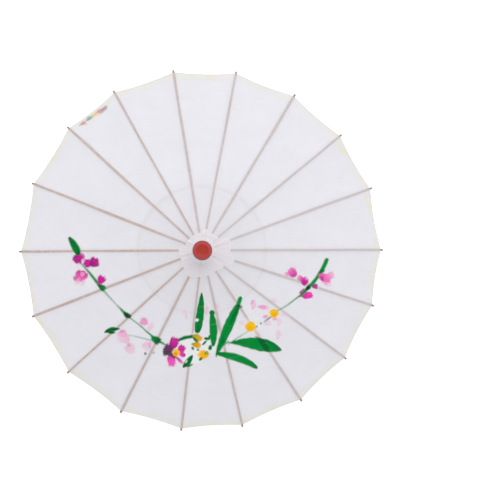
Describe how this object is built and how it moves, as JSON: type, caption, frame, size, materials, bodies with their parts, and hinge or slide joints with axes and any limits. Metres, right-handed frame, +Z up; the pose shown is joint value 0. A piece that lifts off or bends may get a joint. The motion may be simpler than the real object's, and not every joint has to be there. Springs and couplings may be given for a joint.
{
  "type": "oil paper umbrella",
  "caption": "Hand parasol with a cloth canopy on split bamboo ribs, a slotted crown under a red knob, hinged stretchers and a sliding runner.",
  "frame": {"origin": "centre of the handle's flat end", "axes": "+Z up the shaft to the finial knob, +X along rib 01; the other ribs follow anticlockwise seen from above, each within 3.5 degrees of an even spread"},
  "size_m": [0.5824, 0.5773, 0.4],
  "materials": {
    "bamboo": "satin",
    "split_bamboo": "matte",
    "turned_wood": "satin",
    "red_lacquer": "lacquered",
    "canopy_cloth": "oiled, faintly translucent",
    "cap_cloth": "matte",
    "catch_bamboo": "satin"
  },
  "bodies": {
    "shaft_assembly": {"shaft": "bamboo", "crown_notch": "turned_wood", "finial_knob": "red_lacquer", "crown_cap": "cap_cloth"},
    "rib_01": {"rib_01": "split_bamboo", "canopy_gore_01": "canopy_cloth"},
    "stretcher_01": {"stretcher_01": "split_bamboo"},
    "rib_02": {"rib_02": "split_bamboo", "canopy_gore_02": "canopy_cloth"},
    "stretcher_02": {"stretcher_02": "split_bamboo"},
    "rib_03": {"rib_03": "split_bamboo", "canopy_gore_03": "canopy_cloth"},
    "stretcher_03": {"stretcher_03": "split_bamboo"},
    "rib_04": {"rib_04": "split_bamboo", "canopy_gore_04": "canopy_cloth"},
    "stretcher_04": {"stretcher_04": "split_bamboo"},
    "rib_05": {"rib_05": "split_bamboo", "canopy_gore_05": "canopy_cloth"},
    "stretcher_05": {"stretcher_05": "split_bamboo"},
    "rib_06": {"rib_06": "split_bamboo", "canopy_gore_06": "canopy_cloth"},
    "stretcher_06": {"stretcher_06": "split_bamboo"},
    "rib_07": {"rib_07": "split_bamboo", "canopy_gore_07": "canopy_cloth"},
    "stretcher_07": {"stretcher_07": "split_bamboo"},
    "rib_08": {"rib_08": "split_bamboo", "canopy_gore_08": "canopy_cloth"},
    "stretcher_08": {"stretcher_08": "split_bamboo"},
    "rib_09": {"rib_09": "split_bamboo", "canopy_gore_09": "canopy_cloth"},
    "stretcher_09": {"stretcher_09": "split_bamboo"},
    "rib_10": {"rib_10": "split_bamboo", "canopy_gore_10": "canopy_cloth"},
    "stretcher_10": {"stretcher_10": "split_bamboo"},
    "rib_11": {"rib_11": "split_bamboo", "canopy_gore_11": "canopy_cloth"},
    "stretcher_11": {"stretcher_11": "split_bamboo"},
    "rib_12": {"rib_12": "split_bamboo", "canopy_gore_12": "canopy_cloth"},
    "stretcher_12": {"stretcher_12": "split_bamboo"},
    "rib_13": {"rib_13": "split_bamboo", "canopy_gore_13": "canopy_cloth"},
    "stretcher_13": {"stretcher_13": "split_bamboo"},
    "rib_14": {"rib_14": "split_bamboo", "canopy_gore_14": "canopy_cloth"},
    "stretcher_14": {"stretcher_14": "split_bamboo"},
    "rib_15": {"rib_15": "split_bamboo", "canopy_gore_15": "canopy_cloth"},
    "stretcher_15": {"stretcher_15": "split_bamboo"},
    "rib_16": {"rib_16": "split_bamboo", "canopy_gore_16": "canopy_cloth"},
    "stretcher_16": {"stretcher_16": "split_bamboo"},
    "rib_17": {"rib_17": "split_bamboo", "canopy_gore_17": "canopy_cloth"},
    "stretcher_17": {"stretcher_17": "split_bamboo"},
    "rib_18": {"rib_18": "split_bamboo", "canopy_gore_18": "canopy_cloth"},
    "stretcher_18": {"stretcher_18": "split_bamboo"},
    "runner": {"runner": "turned_wood"},
    "spring_catch": {"spring_catch": "catch_bamboo"}
  },
  "joints": [
    {"name": "umbrella_fold", "type": "hinge", "parent": "shaft_assembly", "child": "rib_01", "pos_m": [0.012, 0, 0.36], "axis": [0, 1, 0], "range_deg": [0, 65], "deforming": ["canopy_gore_01", "spring_catch"]},
    {"name": "rib_02_fold", "type": "hinge", "parent": "shaft_assembly", "child": "rib_02", "pos_m": [0.01128, 0.0041, 0.36], "axis": [-0.342, 0.9397, 0], "range_deg": [0, 65], "deforming": ["canopy_gore_02"]},
    {"name": "rib_03_fold", "type": "hinge", "parent": "shaft_assembly", "child": "rib_03", "pos_m": [0.00926, 0.00763, 0.36], "axis": [-0.6361, 0.7716, 0], "range_deg": [0, 65], "deforming": ["canopy_gore_03"]},
    {"name": "rib_04_fold", "type": "hinge", "parent": "shaft_assembly", "child": "rib_04", "pos_m": [0.00618, 0.01029, 0.36], "axis": [-0.8572, 0.515, 0], "range_deg": [0, 65], "deforming": ["canopy_gore_04"]},
    {"name": "rib_05_fold", "type": "hinge", "parent": "shaft_assembly", "child": "rib_05", "pos_m": [0.00229, 0.01178, 0.36], "axis": [-0.9816, 0.1908, 0], "range_deg": [0, 65], "deforming": ["canopy_gore_05"]},
    {"name": "rib_06_fold", "type": "hinge", "parent": "shaft_assembly", "child": "rib_06", "pos_m": [-0.00188, 0.01185, 0.36], "axis": [-0.9877, -0.1564, 0], "range_deg": [0, 65], "deforming": ["canopy_gore_06"]},
    {"name": "rib_07_fold", "type": "hinge", "parent": "shaft_assembly", "child": "rib_07", "pos_m": [-0.00582, 0.0105, 0.36], "axis": [-0.8746, -0.4848, 0], "range_deg": [0, 65], "deforming": ["canopy_gore_07"]},
    {"name": "rib_08_fold", "type": "hinge", "parent": "shaft_assembly", "child": "rib_08", "pos_m": [-0.00885, 0.00811, 0.36], "axis": [-0.6756, -0.7373, 0], "range_deg": [0, 65], "deforming": ["canopy_gore_08"]},
    {"name": "rib_09_fold", "type": "hinge", "parent": "shaft_assembly", "child": "rib_09", "pos_m": [-0.01116, 0.0044, 0.36], "axis": [-0.3665, -0.9304, 0], "range_deg": [0, 65], "deforming": ["canopy_gore_09"]},
    {"name": "rib_10_fold", "type": "hinge", "parent": "shaft_assembly", "child": "rib_10", "pos_m": [-0.012, -0.0001, 0.36], "axis": [0.0087, -1, 0], "range_deg": [0, 65], "deforming": ["canopy_gore_10"]},
    {"name": "rib_11_fold", "type": "hinge", "parent": "shaft_assembly", "child": "rib_11", "pos_m": [-0.01116, -0.0044, 0.36], "axis": [0.3665, -0.9304, 0], "range_deg": [0, 65], "deforming": ["canopy_gore_11"]},
    {"name": "rib_12_fold", "type": "hinge", "parent": "shaft_assembly", "child": "rib_12", "pos_m": [-0.00885, -0.00811, 0.36], "axis": [0.6756, -0.7373, 0], "range_deg": [0, 65], "deforming": ["canopy_gore_12"]},
    {"name": "rib_13_fold", "type": "hinge", "parent": "shaft_assembly", "child": "rib_13", "pos_m": [-0.00535, -0.01074, 0.36], "axis": [0.8949, -0.4462, 0], "range_deg": [0, 65], "deforming": ["canopy_gore_13"]},
    {"name": "rib_14_fold", "type": "hinge", "parent": "shaft_assembly", "child": "rib_14", "pos_m": [-0.00136, -0.01192, 0.36], "axis": [0.9936, -0.1132, 0], "range_deg": [0, 65], "deforming": ["canopy_gore_14"]},
    {"name": "rib_15_fold", "type": "hinge", "parent": "shaft_assembly", "child": "rib_15", "pos_m": [0.0027, -0.01169, 0.36], "axis": [0.9744, 0.225, 0], "range_deg": [0, 65], "deforming": ["canopy_gore_15"]},
    {"name": "rib_16_fold", "type": "hinge", "parent": "shaft_assembly", "child": "rib_16", "pos_m": [0.00662, -0.01001, 0.36], "axis": [0.8339, 0.5519, 0], "range_deg": [0, 65], "deforming": ["canopy_gore_16"]},
    {"name": "rib_17_fold", "type": "hinge", "parent": "shaft_assembly", "child": "rib_17", "pos_m": [0.00958, -0.00722, 0.36], "axis": [0.6018, 0.7986, 0], "range_deg": [0, 65], "deforming": ["canopy_gore_17"]},
    {"name": "rib_18_fold", "type": "hinge", "parent": "shaft_assembly", "child": "rib_18", "pos_m": [0.01141, -0.00371, 0.36], "axis": [0.309, 0.9511, 0], "range_deg": [0, 65], "deforming": ["canopy_gore_18"]},
    {"name": "stretcher_01_fold", "type": "hinge", "parent": "rib_01", "child": "stretcher_01", "pos_m": [0.09896, 0, 0.32163], "axis": [0, 1, 0], "range_deg": [-130, 0]},
    {"name": "stretcher_02_fold", "type": "hinge", "parent": "rib_02", "child": "stretcher_02", "pos_m": [0.09299, 0.03385, 0.32163], "axis": [-0.342, 0.9397, 0], "range_deg": [-130, 0]},
    {"name": "stretcher_03_fold", "type": "hinge", "parent": "rib_03", "child": "stretcher_03", "pos_m": [0.07636, 0.06295, 0.32163], "axis": [-0.6361, 0.7716, 0], "range_deg": [-130, 0]},
    {"name": "stretcher_04_fold", "type": "hinge", "parent": "rib_04", "child": "stretcher_04", "pos_m": [0.05097, 0.08482, 0.32163], "axis": [-0.8572, 0.515, 0], "range_deg": [-130, 0]},
    {"name": "stretcher_05_fold", "type": "hinge", "parent": "rib_05", "child": "stretcher_05", "pos_m": [0.01888, 0.09714, 0.32163], "axis": [-0.9816, 0.1908, 0], "range_deg": [-130, 0]},
    {"name": "stretcher_06_fold", "type": "hinge", "parent": "rib_06", "child": "stretcher_06", "pos_m": [-0.01548, 0.09774, 0.32163], "axis": [-0.9877, -0.1564, 0], "range_deg": [-130, 0]},
    {"name": "stretcher_07_fold", "type": "hinge", "parent": "rib_07", "child": "stretcher_07", "pos_m": [-0.04798, 0.08655, 0.32163], "axis": [-0.8746, -0.4848, 0], "range_deg": [-130, 0]},
    {"name": "stretcher_08_fold", "type": "hinge", "parent": "rib_08", "child": "stretcher_08", "pos_m": [-0.07296, 0.06686, 0.32163], "axis": [-0.6756, -0.7373, 0], "range_deg": [-130, 0]},
    {"name": "stretcher_09_fold", "type": "hinge", "parent": "rib_09", "child": "stretcher_09", "pos_m": [-0.09207, 0.03627, 0.32163], "axis": [-0.3665, -0.9304, 0], "range_deg": [-130, 0]},
    {"name": "stretcher_10_fold", "type": "hinge", "parent": "rib_10", "child": "stretcher_10", "pos_m": [-0.09895, -0.00086, 0.32163], "axis": [0.0087, -1, 0], "range_deg": [-130, 0]},
    {"name": "stretcher_11_fold", "type": "hinge", "parent": "rib_11", "child": "stretcher_11", "pos_m": [-0.09207, -0.03627, 0.32163], "axis": [0.3665, -0.9304, 0], "range_deg": [-130, 0]},
    {"name": "stretcher_12_fold", "type": "hinge", "parent": "rib_12", "child": "stretcher_12", "pos_m": [-0.07296, -0.06686, 0.32163], "axis": [0.6756, -0.7373, 0], "range_deg": [-130, 0]},
    {"name": "stretcher_13_fold", "type": "hinge", "parent": "rib_13", "child": "stretcher_13", "pos_m": [-0.04416, -0.08856, 0.32163], "axis": [0.8949, -0.4462, 0], "range_deg": [-130, 0]},
    {"name": "stretcher_14_fold", "type": "hinge", "parent": "rib_14", "child": "stretcher_14", "pos_m": [-0.0112, -0.09832, 0.32163], "axis": [0.9936, -0.1132, 0], "range_deg": [-130, 0]},
    {"name": "stretcher_15_fold", "type": "hinge", "parent": "rib_15", "child": "stretcher_15", "pos_m": [0.02226, -0.09642, 0.32163], "axis": [0.9744, 0.225, 0], "range_deg": [-130, 0]},
    {"name": "stretcher_16_fold", "type": "hinge", "parent": "rib_16", "child": "stretcher_16", "pos_m": [0.05462, -0.08252, 0.32163], "axis": [0.8339, 0.5519, 0], "range_deg": [-130, 0]},
    {"name": "stretcher_17_fold", "type": "hinge", "parent": "rib_17", "child": "stretcher_17", "pos_m": [0.07903, -0.05955, 0.32163], "axis": [0.6018, 0.7986, 0], "range_deg": [-130, 0]},
    {"name": "stretcher_18_fold", "type": "hinge", "parent": "rib_18", "child": "stretcher_18", "pos_m": [0.09412, -0.03058, 0.32163], "axis": [0.309, 0.9511, 0], "range_deg": [-130, 0]},
    {"name": "runner_travel", "type": "hinge", "parent": "stretcher_01", "child": "runner", "pos_m": [0.012, 0, 0.28326], "axis": [0, 1, 0], "range_deg": [0, 65]},
    {"name": "catch_press", "type": "hinge", "parent": "shaft_assembly", "child": "spring_catch", "pos_m": [0, 0, 0.222], "axis": [-1, 0, 0], "range_deg": [0, 6.5], "stiffness_Nm_per_rad": 0.05}
  ],
  "couplings": [
    {"joint": "rib_02_fold", "follows": "umbrella_fold", "ratio": 1},
    {"joint": "rib_03_fold", "follows": "umbrella_fold", "ratio": 1},
    {"joint": "rib_04_fold", "follows": "umbrella_fold", "ratio": 1},
    {"joint": "rib_05_fold", "follows": "umbrella_fold", "ratio": 1},
    {"joint": "rib_06_fold", "follows": "umbrella_fold", "ratio": 1},
    {"joint": "rib_07_fold", "follows": "umbrella_fold", "ratio": 1},
    {"joint": "rib_08_fold", "follows": "umbrella_fold", "ratio": 1},
    {"joint": "rib_09_fold", "follows": "umbrella_fold", "ratio": 1},
    {"joint": "rib_10_fold", "follows": "umbrella_fold", "ratio": 1},
    {"joint": "rib_11_fold", "follows": "umbrella_fold", "ratio": 1},
    {"joint": "rib_12_fold", "follows": "umbrella_fold", "ratio": 1},
    {"joint": "rib_13_fold", "follows": "umbrella_fold", "ratio": 1},
    {"joint": "rib_14_fold", "follows": "umbrella_fold", "ratio": 1},
    {"joint": "rib_15_fold", "follows": "umbrella_fold", "ratio": 1},
    {"joint": "rib_16_fold", "follows": "umbrella_fold", "ratio": 1},
    {"joint": "rib_17_fold", "follows": "umbrella_fold", "ratio": 1},
    {"joint": "rib_18_fold", "follows": "umbrella_fold", "ratio": 1},
    {"joint": "stretcher_01_fold", "follows": "umbrella_fold", "ratio": -2},
    {"joint": "stretcher_02_fold", "follows": "umbrella_fold", "ratio": -2},
    {"joint": "stretcher_03_fold", "follows": "umbrella_fold", "ratio": -2},
    {"joint": "stretcher_04_fold", "follows": "umbrella_fold", "ratio": -2},
    {"joint": "stretcher_05_fold", "follows": "umbrella_fold", "ratio": -2},
    {"joint": "stretcher_06_fold", "follows": "umbrella_fold", "ratio": -2},
    {"joint": "stretcher_07_fold", "follows": "umbrella_fold", "ratio": -2},
    {"joint": "stretcher_08_fold", "follows": "umbrella_fold", "ratio": -2},
    {"joint": "stretcher_09_fold", "follows": "umbrella_fold", "ratio": -2},
    {"joint": "stretcher_10_fold", "follows": "umbrella_fold", "ratio": -2},
    {"joint": "stretcher_11_fold", "follows": "umbrella_fold", "ratio": -2},
    {"joint": "stretcher_12_fold", "follows": "umbrella_fold", "ratio": -2},
    {"joint": "stretcher_13_fold", "follows": "umbrella_fold", "ratio": -2},
    {"joint": "stretcher_14_fold", "follows": "umbrella_fold", "ratio": -2},
    {"joint": "stretcher_15_fold", "follows": "umbrella_fold", "ratio": -2},
    {"joint": "stretcher_16_fold", "follows": "umbrella_fold", "ratio": -2},
    {"joint": "stretcher_17_fold", "follows": "umbrella_fold", "ratio": -2},
    {"joint": "stretcher_18_fold", "follows": "umbrella_fold", "ratio": -2},
    {"joint": "runner_travel", "follows": "umbrella_fold", "ratio": 1}
  ]
}
